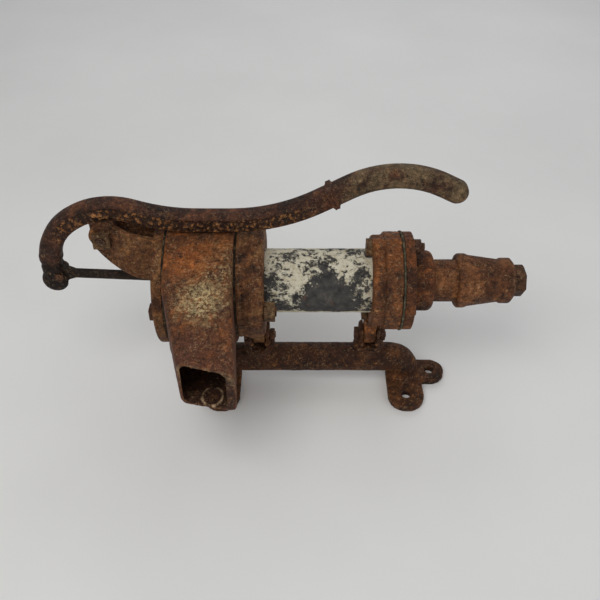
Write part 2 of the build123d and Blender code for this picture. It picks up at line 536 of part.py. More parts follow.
# ---- piston: cage, pin, cup leather, follower and poppet valve -------------------------------------
CAGE_FORK_X = PISTON_PIN_X - 6
CAGE_DISC_X0, CAGE_DISC_X1 = -37.0, -30.0
CAGE_RING_X0, CAGE_RING_X1 = -21.0, -14.0
CUP_LIP_X = -23.0
CUP_T = 3.0
FOLLOWER_X0 = CAGE_RING_X1 + CUP_T
FOLLOWER_X1 = FOLLOWER_X0 + 6
FOLLOWER_NECK_R = 15.0
FOLLOWER_BORE_R = 10.0
VALVE_LIFT = 5.0
CUP_R = BORE_R - RUNNING_GAP
CUP_INNER_R = CUP_R - CUP_T

with BuildPart() as piston_cage:
    extrude(washer_sketch(axis_plane(CAGE_RING_X0), CUP_INNER_R - 0.3, FOLLOWER_NECK_R + SOCKET_GAP),
            amount=CAGE_RING_X1 - CAGE_RING_X0)
    disc(CAGE_DISC_X0, CAGE_DISC_X1, 20.5)
    with BuildSketch(axis_plane(CAGE_DISC_X1)):
        Circle(20.5)
        Circle(16, mode=Mode.SUBTRACT)
        with PolarLocations(18, 3, start_angle=30):
            Rectangle(16, 24, mode=Mode.SUBTRACT)
    extrude(amount=CAGE_RING_X0 - CAGE_DISC_X1)
    for side in (-1, 1):
        with Locations((CAGE_FORK_X, side * (PISTON_EYE_T / 2 + 4), AXIS_Z)):
            Box(CAGE_DISC_X0 - CAGE_FORK_X, 6, 18, align=(Align.MIN, Align.CENTER, Align.CENTER))
    cross_disc(-20, 20, PISTON_PIN_R + SOCKET_GAP, PISTON_PIN_X, AXIS_Z, Mode.SUBTRACT)
piston_cage.part.label = "piston_cage"
export_step(piston_cage.part, "parts/piston_cage.step")

with BuildPart() as piston_pin:
    cross_disc(-PISTON_EYE_T / 2 - 7.5, PISTON_EYE_T / 2 + 7.5, PISTON_PIN_R, PISTON_PIN_X, AXIS_Z)
piston_pin.part.label = "piston_pin"
export_step(piston_pin.part, "parts/piston_pin.step")

with BuildPart() as piston_cup:
    extrude(washer_sketch(axis_plane(CAGE_RING_X1), CUP_R, FOLLOWER_NECK_R + SOCKET_GAP), amount=CUP_T)
    extrude(washer_sketch(axis_plane(CUP_LIP_X), CUP_R, CUP_INNER_R), amount=CAGE_RING_X1 - CUP_LIP_X)
piston_cup.part.label = "piston_cup"
export_step(piston_cup.part, "parts/piston_cup.step")

with BuildPart() as piston_follower:
    disc(CAGE_RING_X0, FOLLOWER_X0, FOLLOWER_NECK_R)
    disc(FOLLOWER_X0, FOLLOWER_X1, 24)
    disc(CAGE_RING_X0, FOLLOWER_X1, FOLLOWER_BORE_R, Mode.SUBTRACT)
piston_follower.part.label = "piston_follower"
export_step(piston_follower.part, "parts/piston_follower.step")

VALVE_SEAT_GAP = 0.1
with BuildPart() as piston_valve:
    disc(CAGE_RING_X0 - VALVE_SEAT_GAP - 3.4, CAGE_RING_X0 - VALVE_SEAT_GAP, 13.5)
    with BuildSketch(axis_plane(CAGE_RING_X0 - VALVE_SEAT_GAP)):
        with PolarLocations(0, 3):
            with Locations((4.6, 0)):
                Rectangle(9.2, 2)
    extrude(amount=12)
piston_valve.part.label = "piston_valve"
export_step(piston_valve.part, "parts/piston_valve.step")

# ---- foot valve: a leather flap weighted with an iron disc -----------------------------------------
FLAP_X0 = LOWER_X1 - 0.4
FLAP_X1 = COVER_X0 - 0.2
with BuildPart() as foot_valve_flap:
    with BuildSketch(axis_plane(FLAP_X0)):
        Circle(19)
        with Locations((0, 10.75)):
            Rectangle(14, 21.5)
        Circle(3.05, mode=Mode.SUBTRACT)
    extrude(amount=FLAP_X1 - FLAP_X0)
foot_valve_flap.part.label = "foot_valve_flap"
export_step(foot_valve_flap.part, "parts/foot_valve_flap.step")

with BuildPart() as foot_valve_weight:
    extrude(washer_sketch(axis_plane(FLAP_X0 - 6), 13, 3.05), amount=6)
foot_valve_weight.part.label = "foot_valve_weight"
export_step(foot_valve_weight.part, "parts/foot_valve_weight.step")

with BuildPart() as foot_valve_rivet:
    disc(FLAP_X0 - 8, FLAP_X0 - 6, 5)
    disc(FLAP_X0 - 6, FLAP_X1, 3)
    disc(FLAP_X1, FLAP_X1 + 2, 5)
foot_valve_rivet.part.label = "foot_valve_rivet"
export_step(foot_valve_rivet.part, "parts/foot_valve_rivet.step")
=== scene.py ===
import math

import bpy
import numpy as np
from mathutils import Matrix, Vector, noise


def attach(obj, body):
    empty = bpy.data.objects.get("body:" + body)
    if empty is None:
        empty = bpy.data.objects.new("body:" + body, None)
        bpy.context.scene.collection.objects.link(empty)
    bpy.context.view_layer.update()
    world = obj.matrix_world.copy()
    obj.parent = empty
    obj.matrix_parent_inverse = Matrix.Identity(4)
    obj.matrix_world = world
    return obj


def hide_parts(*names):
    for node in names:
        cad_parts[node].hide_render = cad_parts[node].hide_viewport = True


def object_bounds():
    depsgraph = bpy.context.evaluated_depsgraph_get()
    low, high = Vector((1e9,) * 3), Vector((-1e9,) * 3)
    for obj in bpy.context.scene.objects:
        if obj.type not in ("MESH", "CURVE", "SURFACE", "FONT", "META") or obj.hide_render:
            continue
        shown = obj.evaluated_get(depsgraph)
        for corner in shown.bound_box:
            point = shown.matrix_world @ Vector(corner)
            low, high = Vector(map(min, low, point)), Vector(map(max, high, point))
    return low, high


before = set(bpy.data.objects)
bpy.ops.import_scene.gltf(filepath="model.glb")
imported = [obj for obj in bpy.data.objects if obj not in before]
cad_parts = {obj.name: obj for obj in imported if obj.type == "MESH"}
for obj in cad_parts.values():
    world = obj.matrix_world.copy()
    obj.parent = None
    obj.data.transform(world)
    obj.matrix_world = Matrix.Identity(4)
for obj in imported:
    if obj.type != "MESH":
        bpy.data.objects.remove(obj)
CAD_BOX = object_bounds()

# Worn cast-iron hand well pump. The row frame is in metres; sizes below are in millimetres, times MM.
MM = 0.001

# Places that the CAD fixes, repeated here so that relief and colour follow the castings.
AXIS_Z = 134.5
NECK_X = 58.0
HEAD_BOLTS = [(-47.0, 134.5), (42.6, 114.6)]
FLANGE_BOLT_Z = 41.5
NECK_BOLT_Z = 61.0
HEAD_STUD = (-49.0, -37.0)
FLANGE_STUD = (94.0, 104.0)
NECK_STUD = (11.5, 17.5)
MOUTH_RING = (-92.0, -131.0)
MOUTH_RING_REACH = (9.0, 12.0)
MOUTH_MIDDLE = (-94.5, 131.0)
COLLAR = (14.5, 0.0, 234.5)
HANDLE_ROUTE = [
    (-255, 139), (-257, 192), (-197, 225.7), (-139, 206.6), (-36, 206.6), (72, 266.3), (126.5, 238.3),
]
HANDLE_BENDS = [60, 65, 180, 170, 90]

# The handle's sunk side panel: fades along the handle, and above and below its middle line.
PANEL_START = (40, 70)
PANEL_END = (325, 285)
PANEL_TOP = (5.6, 3.6)
PANEL_FOOT = (-9.6, -8.0)

# Middles of the coloured patches on the drum and on the barrel.
CREAM_PATCH = (-104, -78, 173)
DUST_PATCH = (-90, -48, 184)
ORANGE_PATCH = (-116, -36, 187)
RUST_PATCH = (-100, -30, 190)
BARE_PATCH = (14, -29, 131)

# The room, in metres: lamps are (place, target, size, power, colour).
FLOOR_REACH = 6.0
FLOOR_SIDES = 64
CAMERA_PLACE = (-0.015, -0.576, 0.606)
CAMERA_TILT = 49.2
LAMPS = {
    "key": ((-0.45, -0.75, 1.35), (-0.03, -0.03, 0.12), 0.9, 7.5, (1.0, 0.98, 0.95)),
    "fill": ((1.1, -0.9, 0.9), (0.0, 0.0, 0.12), 1.2, 3.0, (0.95, 0.97, 1.0)),
    "rim": ((0.2, 1.2, 1.1), (0.0, 0.0, 0.15), 1.0, 3.0, (1.0, 1.0, 1.0)),
}


def rgb(red, green, blue):
    """A colour given as 0 to 255, as Blender's linear values."""
    def linear(c):
        c = c / 255
        return c / 12.92 if c <= 0.04045 else ((c + 0.055) / 1.055) ** 2.4
    return (linear(red), linear(green), linear(blue), 1.0)


def grey(level):
    """A linear grey, which may be brighter than white when it multiplies."""
    return (level, level, level, 1.0)


SOOT = rgb(30, 22, 18)
DEEP = rgb(50, 31, 24)
PLUM = rgb(84, 53, 43)
BROWN = rgb(108, 68, 42)
RUST = rgb(142, 82, 40)
ORANGE = rgb(180, 102, 48)
AMBER = rgb(206, 142, 78)
TAN = rgb(168, 142, 106)
PAINT = rgb(214, 207, 184)
PALE = rgb(226, 220, 200)
GREY_GREEN = rgb(70, 65, 52)


# ---- material trees ---------------------------------------------------------------------------------
class Tree:
    """A material's node tree, with a short call for each kind of node in it."""

    def __init__(self, name):
        self.material = bpy.data.materials.new(name)
        self.material.use_nodes = True
        self.nodes = self.material.node_tree.nodes
        self.links = self.material.node_tree.links
        self.shader = self.nodes["Principled BSDF"]
        coords = self.nodes.new("ShaderNodeTexCoord")
        self.place = coords.outputs["Object"]
        self.pointiness = self.nodes.new("ShaderNodeNewGeometry").outputs["Pointiness"]
        self.axes = self.nodes.new("ShaderNodeSeparateXYZ")
        self.links.new(self.place, self.axes.inputs[0])

    def put(self, socket, value):
        """Feeds a socket from another socket or with a plain value."""
        if isinstance(value, bpy.types.NodeSocket):
            self.links.new(value, socket)
        else:
            socket.default_value = value

    def noise(self, scale, detail=8.0, rough=0.6, warp=0.0):
        """Cloudy noise, 0 to 1. The scale is in features per metre."""
        node = self.nodes.new("ShaderNodeTexNoise")
        self.put(node.inputs["Vector"], self.place)
        node.inputs["Scale"].default_value = scale
        node.inputs["Detail"].default_value = detail
        node.inputs["Roughness"].default_value = rough
        node.inputs["Distortion"].default_value = warp
        return node.outputs["Fac"]

    def mark(self, name):
        """A value that the mesh carries at each vertex."""
        node = self.nodes.new("ShaderNodeAttribute")
        node.attribute_name = name
        return node.outputs["Fac"]

    def cells(self, scale):
        """Distance to the nearest of scattered points, for pits and pebbles."""
        node = self.nodes.new("ShaderNodeTexVoronoi")
        self.put(node.inputs["Vector"], self.place)
        node.inputs["Scale"].default_value = scale
        return node.outputs["Distance"]

    def step(self, value, low, high, to_low=0.0, to_high=1.0):
        """A smooth step of a value from low to high."""
        node = self.nodes.new("ShaderNodeMapRange")
        node.interpolation_type = "SMOOTHSTEP"
        self.put(node.inputs["Value"], value)
        for key, number in (("From Min", low), ("From Max", high), ("To Min", to_low), ("To Max", to_high)):
            node.inputs[key].default_value = number
        return node.outputs["Result"]

    def calc(self, kind, a, b):
        """One arithmetic step."""
        node = self.nodes.new("ShaderNodeMath")
        node.operation = kind
        self.put(node.inputs[0], a)
        self.put(node.inputs[1], b)
        return node.outputs[0]

    def times(self, a, b):
        """The product of two values."""
        return self.calc("MULTIPLY", a, b)

    def fade(self, axis, low, high):
        """A smooth step along one axis of the row frame; low and high are in millimetres."""
        return self.step(self.axes.outputs[axis], low * MM, high * MM)

    def broken(self, mask, scale, detail, rough, low, high):
        """A mask that noise has broken into flecks."""
        return self.times(mask, self.step(self.noise(scale, detail, rough), low, high))

    def mix(self, share, under, over, blend="MIX"):
        """Lays one colour over another."""
        node = self.nodes.new("ShaderNodeMix")
        node.data_type = "RGBA"
        node.blend_type = blend
        self.put(node.inputs["Factor"], share)
        self.put(node.inputs["A"], under)
        self.put(node.inputs["B"], over)
        return node.outputs["Result"]

    def ramp(self, value, stops):
        """Colours along a value: stops are (position, colour)."""
        node = self.nodes.new("ShaderNodeValToRGB")
        self.put(node.inputs["Fac"], value)
        elements = node.color_ramp.elements
        while len(elements) < len(stops):
            elements.new(0.5)
        for element, (position, colour) in zip(elements, stops):
            element.position = position
            element.color = colour
        return node.outputs["Color"]

    def spot(self, centre, reach, fade=0.5, ragged=0.5):
        """A ragged round patch, 1 inside: centre and reach in millimetres."""
        shift = self.nodes.new("ShaderNodeVectorMath")
        shift.operation = "DISTANCE"
        self.links.new(self.place, shift.inputs[0])
        shift.inputs[1].default_value = [c * MM for c in centre]
        rough = self.calc("SUBTRACT", self.noise(120, 12, 0.75), 0.5)
        rough = self.times(rough, ragged * 4 * reach * MM)
        distance = self.calc("ADD", shift.outputs["Value"], rough)
        return self.step(distance, reach * MM * (1 + fade), reach * MM * (1 - fade))

    def bump(self, height, depth, under=None):
        """A bump from a height value; depth is in millimetres."""
        node = self.nodes.new("ShaderNodeBump")
        node.inputs["Distance"].default_value = depth * MM
        node.inputs["Strength"].default_value = 1.0
        self.put(node.inputs["Height"], height)
        if under is not None:
            self.links.new(under, node.inputs["Normal"])
        return node.outputs["Normal"]

    def done(self, colour, roughness, normal, metal=0.0, gloss=0.2):
        """Wires the shader."""
        self.put(self.shader.inputs["Base Color"], colour)
        self.put(self.shader.inputs["Roughness"], roughness)
        self.put(self.shader.inputs["Normal"], normal)
        self.put(self.shader.inputs["Metallic"], metal)
        self.shader.inputs["Specular IOR Level"].default_value = gloss
        return self.material


def rusty(name, deep, body, warm, patches=(), fleck=0.5, pale=0.4, wear=0.5, coarse=38, rough=(0.5, 0.85),
          depth=0.5):
    """Rusted cast iron. Patches are (mask maker, colour, strength) laid over the mottled ground."""
    t = Tree(name)
    cloud = t.noise(coarse, 12, 0.68, 0.4)
    grain = t.noise(300, 8, 0.75)
    fine = t.noise(760, 5, 0.75)
    colour = t.ramp(cloud, [(0.36, deep), (0.5, body), (0.63, warm)])
    for mask, over, share in patches:
        colour = t.mix(t.times(mask(t), share), colour, over)
    # orange scale in small islands, dark pits, and pale dust caught in the pores
    islands = t.step(t.noise(110, 12, 0.74, 0.6), 0.55, 0.63)
    colour = t.mix(t.times(islands, fleck), colour, t.ramp(grain, [(0.4, RUST), (0.62, AMBER)]))
    pits = t.step(t.noise(150, 11, 0.76, 0.3), 0.45, 0.36)
    colour = t.mix(t.times(pits, 0.8), colour, SOOT)
    dusty = t.step(t.noise(70, 6, 0.6), 0.38, 0.6)
    dust = t.times(t.step(t.noise(380, 10, 0.85), 0.53, 0.59), dusty)
    colour = t.mix(t.times(dust, pale), colour, TAN)
    tone = t.calc("ADD", t.times(t.noise(200, 12, 0.82), 0.7), t.times(fine, 0.3))
    shade = t.ramp(tone, [(0.41, grey(0.22)), (0.5, grey(0.8)), (0.6, grey(1.7))])
    colour = t.mix(0.9, colour, shade, "MULTIPLY")
    # painted shade darkens the corners and hollows, and the high edges are rubbed
    painted_corner_shade = t.step(t.pointiness, 0.49, 0.44)
    colour = t.mix(t.times(painted_corner_shade, 0.6), colour, SOOT)
    edge = t.times(t.step(t.pointiness, 0.52, 0.6), t.step(t.noise(150, 6, 0.6), 0.4, 0.6))
    colour = t.mix(t.times(edge, wear), colour, AMBER)
    normal = t.bump(t.noise(190, 11, 0.72), depth * 2.4)
    normal = t.bump(t.step(t.cells(380), 0.05, 0.5), depth * 0.4, normal)
    normal = t.bump(fine, depth * 0.5, normal)
    return t.done(colour, t.step(grain, 0.35, 0.65, *rough), normal)


def flaked_paint(name):
    """Cream paint that has flaked from a slate-black tube."""
    t = Tree(name)
    height = t.times(t.fade("Z", 118, 166), 0.05)
    belly = t.times(t.spot(BARE_PATCH, 24, 0.5, 0.7), 0.2)
    foot = t.times(t.fade("Z", 119, 115.5), 0.25)
    share = t.calc("SUBTRACT", t.calc("ADD", height, foot), belly)
    broad = t.times(t.noise(60, 6, 0.6, 0.6), 0.4)
    ragged = t.calc("ADD", t.times(t.noise(230, 14, 0.84, 0.2), 0.6), broad)
    left = t.step(t.calc("ADD", ragged, share), 0.522, 0.536)
    slate = t.ramp(t.noise(120, 10, 0.7), [(0.35, rgb(44, 43, 43)), (0.65, rgb(86, 83, 79))])
    bloom = t.step(t.noise(60, 9, 0.7), 0.55, 0.72)
    slate = t.mix(t.times(bloom, 0.45), slate, rgb(132, 128, 116))
    cream = t.ramp(t.noise(180, 10, 0.7), [(0.3, rgb(176, 160, 124)), (0.5, PAINT), (0.75, PALE)])
    colour = t.mix(left, slate, cream)
    chips = t.step(t.noise(300, 8, 0.7), 0.6, 0.66)
    colour = t.mix(t.times(chips, 0.7), colour, rgb(72, 68, 64))
    stain = t.step(t.noise(85, 10, 0.7, 0.5), 0.6, 0.72)
    colour = t.mix(t.times(stain, 0.45), colour, RUST)
    normal = t.bump(left, 0.45)
    normal = t.bump(t.noise(500, 6, 0.7), 0.25, normal)
    return t.done(colour, t.step(t.noise(200, 6), 0.3, 0.7, 0.45, 0.8), normal)


def leather(name, tint):
    """Old oiled gasket leather, grey-green and fibrous at its cut edge."""
    t = Tree(name)
    colour = t.ramp(t.noise(160, 9, 0.7), [(0.3, SOOT), (0.5, tint), (0.72, rgb(128, 118, 92))])
    normal = t.bump(t.noise(700, 6, 0.7), 0.3)
    return t.done(colour, t.step(t.noise(300, 5), 0.3, 0.7, 0.6, 0.9), normal)


def worn_metal(name, dark, light, metal, rough):
    """Oiled steel or bronze with tarnish in cloudy patches."""
    t = Tree(name)
    colour = t.ramp(t.noise(140, 10, 0.68), [(0.35, dark), (0.65, light)])
    edge = t.step(t.pointiness, 0.52, 0.62)
    colour = t.mix(t.times(edge, 0.5), colour, AMBER)
    normal = t.bump(t.noise(600, 6, 0.7), 0.2)
    return t.done(colour, t.step(t.noise(240, 6), 0.3, 0.7, *rough), normal, metal)


def drum_patches():
    """Cream dust in the middle, orange above, purple-brown painted shade below; in the mouth, painted shade,
    a painted highlight on the ring and the worn lip.
    """
    return (
        # painted shade: the lower part of the drum is darkened to purple-brown
        (lambda t: t.fade("Z", 176, 150), rgb(98, 60, 46), 0.8),
        (lambda t: t.broken(t.spot(CREAM_PATCH, 17, 0.7, 1.0), 300, 10, 0.8, 0.46, 0.52),
         rgb(206, 184, 136), 0.9),
        (lambda t: t.broken(t.spot(DUST_PATCH, 24, 0.7, 1.0), 340, 10, 0.8, 0.5, 0.56),
         rgb(196, 170, 122), 0.7),
        (lambda t: t.spot(ORANGE_PATCH, 16, 0.7, 1.0), ORANGE, 0.6),
        (lambda t: t.spot(RUST_PATCH, 14, 0.7, 1.0), RUST, 0.6),
        # painted shade: the inside of the mouth is darkened
        (lambda t: t.mark("painted_throat_shade"), rgb(58, 37, 27), 0.85),
        # painted highlight: broken cream arcs on the ring in the mouth
        (lambda t: t.broken(t.mark("ring"), 90, 8, 0.7, 0.42, 0.56), rgb(206, 176, 138), 0.9),
        (lambda t: t.broken(t.mark("lip"), 110, 8, 0.7, 0.38, 0.58), rgb(150, 122, 92), 0.75),
    )


def handle_patches():
    """A dark side panel with orange pebbles, an olive grip and a sooty hook."""
    return (
        (lambda t: t.mark("panel"), rgb(52, 33, 24), 0.85),
        (lambda t: t.broken(t.mark("raised"), 160, 9, 0.75, 0.4, 0.6), rgb(184, 124, 72), 0.8),
        (lambda t: t.broken(t.fade("X", 14, 40), 70, 10, 0.7, 0.35, 0.6), rgb(122, 102, 74), 0.75),
        (lambda t: t.fade("Z", 172, 152), rgb(19, 13, 10), 0.9),
    )


def bar_patches():
    """The bracket's bar is darker on top than its feet, and its necks are redder."""
    return (
        (lambda t: t.broken(t.fade("Z", 18, 32), 30, 4, 0.6, 0.3, 0.5), rgb(58, 35, 25), 0.6),
        (lambda t: t.fade("Z", 44, 52), rgb(70, 40, 24), 0.5),
    )


def iron_finishes():
    """Every finish that the pump wears, by name."""
    return {
        "drum": rusty("drum_rust", PLUM, BROWN, RUST, drum_patches(), 0.3, 0.6, 0.45),
        "cap": rusty("cap_rust", DEEP, BROWN, rgb(132, 92, 56), (), 0.45, 0.6, 0.7),
        "bracket": rusty("bracket_rust", DEEP, rgb(84, 51, 31), rgb(116, 72, 40), bar_patches(), 0.35, 0.5),
        "upper": rusty("upper_flange_rust", DEEP, BROWN, rgb(142, 100, 62), (), 0.4, 0.6, 0.5),
        "lower": rusty("lower_flange_rust", rgb(72, 44, 30), rgb(108, 66, 38), rgb(150, 88, 44), (), 0.7, 0.5,
                       0.7, rough=(0.4, 0.75)),
        "cover": rusty("cover_rust", DEEP, rgb(96, 56, 34), rgb(128, 74, 38), (), 0.4, 0.45, 0.5),
        "pipe": rusty("pipe_rust", rgb(72, 43, 27), rgb(102, 63, 39), rgb(134, 86, 52), (), 0.25, 0.5, 0.4,
                      depth=0.35),
        "plug": rusty("plug_rust", DEEP, rgb(80, 54, 38), rgb(104, 72, 48), (), 0.2, 0.5, 0.5),
        "handle": rusty("handle_rust", rgb(40, 25, 20), rgb(68, 42, 32), rgb(98, 59, 40), handle_patches(),
                        0.2, 0.35, 0.6, rough=(0.45, 0.75), depth=0.4),
        "bolt": rusty("bolt_rust", DEEP, rgb(74, 48, 36), rgb(98, 64, 44), (), 0.25, 0.5, 0.5, depth=0.3),
        "nut": rusty("nut_rust", rgb(62, 43, 30), rgb(96, 70, 47), rgb(126, 98, 68), (), 0.2, 0.6, 0.5,
                     depth=0.3),
        "rod": rusty("rod_rust", SOOT, rgb(38, 28, 22), rgb(54, 39, 29), (), 0.1, 0.2, 0.3, rough=(0.5, 0.75),
                     depth=0.25),
        "paint": flaked_paint("flaked_paint_skin"),
        "leather": leather("gasket_leather", GREY_GREEN),
        "dark_leather": leather("greasy_leather", rgb(40, 34, 28)),
        "steel": worn_metal("oiled_steel", rgb(52, 46, 42), rgb(112, 104, 96), 0.7, (0.35, 0.6)),
        "bronze": worn_metal("tarnished_bronze", rgb(72, 54, 30), rgb(150, 112, 62), 0.8, (0.3, 0.5)),
        "malleable": worn_metal("oiled_malleable_iron", rgb(44, 38, 34), rgb(92, 80, 70), 0.4, (0.45, 0.7)),
    }


FINISH = iron_finishes()


# ---- mesh helpers -----------------------------------------------------------------------------------
def clouds(name, size):
    """A cloudy displacement texture; its size is in millimetres."""
    texture = bpy.data.textures.new(name, "CLOUDS")
    texture.noise_scale = size * MM
    texture.noise_depth = 3
    texture.noise_basis = "IMPROVED_PERLIN"
    return texture


SKIN = {size: clouds(f"skin_{size}", size) for size in (14, 5, 2)}


def settle(piece):
    """Applies a piece's modifiers to its mesh."""
    graph = bpy.context.evaluated_depsgraph_get()
    mesh = bpy.data.meshes.new_from_object(piece.evaluated_get(graph))
    piece.modifiers.clear()
    piece.data = mesh
    mesh.polygons.foreach_set("use_smooth", [True] * len(mesh.polygons))


def read(mesh, key="co"):
    """Vertex places or normals as rows of an array."""
    out = np.empty(len(mesh.vertices) * 3)
    if key == "co":
        mesh.vertices.foreach_get("co", out)
    else:
        mesh.vertex_normals.foreach_get("vector", out)
    return out.reshape(-1, 3)


def stamp(piece, name, values):
    """Writes a value at each vertex, for the material to read."""
    piece.data.attributes.new(name, "FLOAT", "POINT").data.foreach_set("value", values.astype(np.float32))


def push(piece, relief):
    """Moves each vertex along its normal; relief(piece, places, normals) is in millimetres."""
    mesh = piece.data
    places, normals = read(mesh), read(mesh, "normal")
    moved = places + normals * (relief(piece, places / MM, normals)[:, None] * MM)
    mesh.vertices.foreach_set("co", moved.ravel())
    mesh.update()


def recast(name, node, body, finish, voxel=1.0, soften=4, uneven=0.5, relief=None):
    """A piece that stands for one CAD node: its corners are softened and its skin is slightly uneven."""
    piece = bpy.data.objects.new(name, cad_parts[node].data.copy())
    bpy.context.scene.collection.objects.link(piece)
    piece.data.materials.clear()
    remesh = piece.modifiers.new("skin", "REMESH")
    remesh.mode = "VOXEL"
    remesh.voxel_size = voxel * MM
    soft = piece.modifiers.new("soften", "SMOOTH")
    soft.iterations = soften
    for size, share in ((14, 0.6), (5, 0.5), (2, 0.25)):
        lumps = piece.modifiers.new(f"lumps_{size}", "DISPLACE")
        lumps.texture = SKIN[size]
        lumps.texture_coords = "LOCAL"
        lumps.mid_level = 0.6
        lumps.strength = uneven * share * MM
    settle(piece)
    if relief:
        push(piece, relief)
    piece.data.materials.append(FINISH[finish])
    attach(piece, body)
    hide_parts(node)
    return piece


def band(value, middle, width):
    """1 at the middle of a band, falling smoothly to 0 at its edges."""
    t = np.clip(1 - np.abs(value - middle) / width, 0, 1)
    return t * t * (3 - 2 * t)


def beyond(value, low, high):
    """A smooth step in an array."""
    t = np.clip((value - low) / (high - low), 0, 1)
    return t * t * (3 - 2 * t)


def speckle(places, size, shift=0.0):
    """Noise at each vertex, about -1 to 1; size is in millimetres."""
    offset = Vector((shift, 2 * shift, 3 * shift))
    return np.array([noise.noise(Vector(p) / size + offset) for p in places])


# ---- relief of each casting -------------------------------------------------------------------------
def from_axis(places, y=0.0, z=AXIS_Z):
    """Distance of each vertex from a line along X."""
    return np.hypot(places[:, 1] - y, places[:, 2] - z)


def bent_line(route, bends, steps=8):
    """Points along a route whose corners are rounded with the given radii."""
    points = [np.array(route[0], float)]
    for before, corner, after, radius in zip(route, route[1:], route[2:], bends):
        before, corner, after = (np.array(p, float) for p in (before, corner, after))
        into = (corner - before) / np.hypot(*(corner - before))
        out = (after - corner) / np.hypot(*(after - corner))
        turn = math.acos(float(np.clip(into @ out, -1, 1)))
        start = corner - into * radius * math.tan(turn / 2)
        inward = (out - into) - ((out - into) @ into) * into
        centre = start + inward / np.hypot(*inward) * radius
        spoke = start - centre
        sense = np.sign(into[0] * out[1] - into[1] * out[0])
        for i in range(steps + 1):
            a = sense * turn * i / steps
            spin = np.array([[math.cos(a), -math.sin(a)], [math.sin(a), math.cos(a)]])
            points.append(centre + spin @ spoke)
    points.append(np.array(route[-1], float))
    return np.array(points)


def handle_frame(places):
    """How far along the handle each vertex is, and how far above its middle line."""
    line = bent_line(HANDLE_ROUTE, HANDLE_BENDS)
    flat = places[:, (0, 2)]
    starts, runs = line[:-1], np.diff(line, axis=0)
    lengths = np.hypot(*runs.T)
    before = np.concatenate([[0], np.cumsum(lengths)[:-1]])
    best = np.full(len(flat), 1e9)
    along, above = np.zeros(len(flat)), np.zeros(len(flat))
    for start, run, length, base in zip(starts, runs, lengths, before):
        t = np.clip((flat - start) @ run / length ** 2, 0, 1)
        away = flat - (start + t[:, None] * run)
        distance = np.hypot(*away.T)
        side = (run[0] * away[:, 1] - run[1] * away[:, 0]) / length
        near = distance < best
        best[near], along[near], above[near] = distance[near], base + t[near] * length, side[near]
    return along, above


def handle_panel(along, above, normals):
    """1 on the sunk side panels of the handle."""
    flank = beyond(np.abs(normals[:, 1]), 0.45, 0.85)
    tall = beyond(above, *PANEL_TOP) * beyond(above, *PANEL_FOOT)
    return flank * tall * beyond(along, *PANEL_START) * beyond(along, *PANEL_END)


def handle_relief(piece, places, normals):
    """A smooth rib over a sunk, pebbled side panel, a grooved collar, and a ridge above the hook's end."""
    along, above = handle_frame(places)
    panel = handle_panel(along, above, normals)
    pebbles = speckle(places, 3.4) + 0.7 * speckle(places, 1.8, 7.0)
    raised = beyond(pebbles, -0.05, 0.45)
    stamp(piece, "panel", panel)
    stamp(piece, "raised", panel * raised)
    flats = beyond(np.abs(above), 9, 7)
    collar = flats * (0.5 * band(along, collar_along(), 5.0) - 1.1 * band(along, collar_along(), 1.6))
    collar -= 0.9 * (1 - flats) * band(along, collar_along(), 6.0)
    grip = -0.5 * beyond(along, 340, 360) * band(np.abs(normals[:, 1]), 0.7, 0.3)
    hook = 0.5 * band(along, 27, 5) - 0.9 * band(along, 20, 4)
    return panel * (-1.3 + 1.25 * raised) + collar + grip + hook * (np.abs(above) < 12)


def collar_along():
    """How far along the handle its collar is."""
    return handle_frame(np.array([COLLAR]))[0][0]


def drum_relief(piece, places, normals):
    """A rolled edge where the drum meets its covers; marks the worn lip, the inside of the mouth for painted
    shade and the ring in it for a painted highlight.
    """
    out = beyond(from_axis(places), 56, 60)
    ring = np.hypot(*((places[:, :2] - MOUTH_RING) / MOUTH_RING_REACH).T)
    inward = (MOUTH_MIDDLE[0] - places[:, 0]) * normals[:, 0]
    inward += (MOUTH_MIDDLE[1] - places[:, 2]) * normals[:, 2]
    # the inside of the mouth, which the drum's finish darkens as painted shade
    painted_throat_shade = beyond(inward, 0, 4) * beyond(places[:, 1], -90, -105)
    stamp(piece, "painted_throat_shade", painted_throat_shade)
    # the ring in the mouth, which the drum's finish lightens as a painted highlight
    stamp(piece, "ring", band(ring, 1.0, 0.16) * painted_throat_shade * (places[:, 2] < 128))
    high = beyond(places[:, 2], 133, 141)
    stamp(piece, "lip", beyond(places[:, 1], -133, -136) * beyond(-normals[:, 1], 0.3, 0.8) * high)
    edges = 0.3 * band(places[:, 0], -138, 2.5) + 0.3 * band(places[:, 0], -79, 2.5)
    return out * edges + 0.25 * speckle(places, 9.0, 3.0)


def upper_relief(piece, places, normals):
    """The soft ridge round the flange, and a shallow groove beside it."""
    out = beyond(from_axis(places), 47, 53) * (places[:, 2] > 76)
    ridge = 1.3 * band(places[:, 0], -61.5, 4.5) - 0.7 * band(places[:, 0], -69.5, 3.0)
    return out * ridge + 0.3 * speckle(places, 8.0, 1.0)


def lower_relief(piece, places, normals):
    """Lumpy rust scale, heaviest on the rim."""
    out = beyond(from_axis(places), 36, 44)
    return out * (0.45 * speckle(places, 5.0, 2.0) + 0.3 * speckle(places, 2.4, 5.0))


def bracket_relief(piece, places, normals):
    """Rings on the two necks and a faint parting line along the bar."""
    out = 0.25 * speckle(places, 7.0, 4.0)
    for side in (-1, 1):
        near = np.hypot(places[:, 0] - side * NECK_X, places[:, 1]) < 20
        rings = 1.4 * band(places[:, 2], 47.5, 3.4) - 1.0 * band(places[:, 2], 52.5, 2.6)
        rings += 1.2 * band(places[:, 2], 57.5, 3.0) - 0.9 * band(places[:, 2], 63, 2.6)
        out = out + near * rings * (np.abs(normals[:, 2]) < 0.8)
    parting = band(places[:, 1] + 15.5, 0, 4.0) * band(places[:, 2], 28.5, 1.4) * (np.abs(places[:, 0]) < 92)
    return out + 0.35 * parting


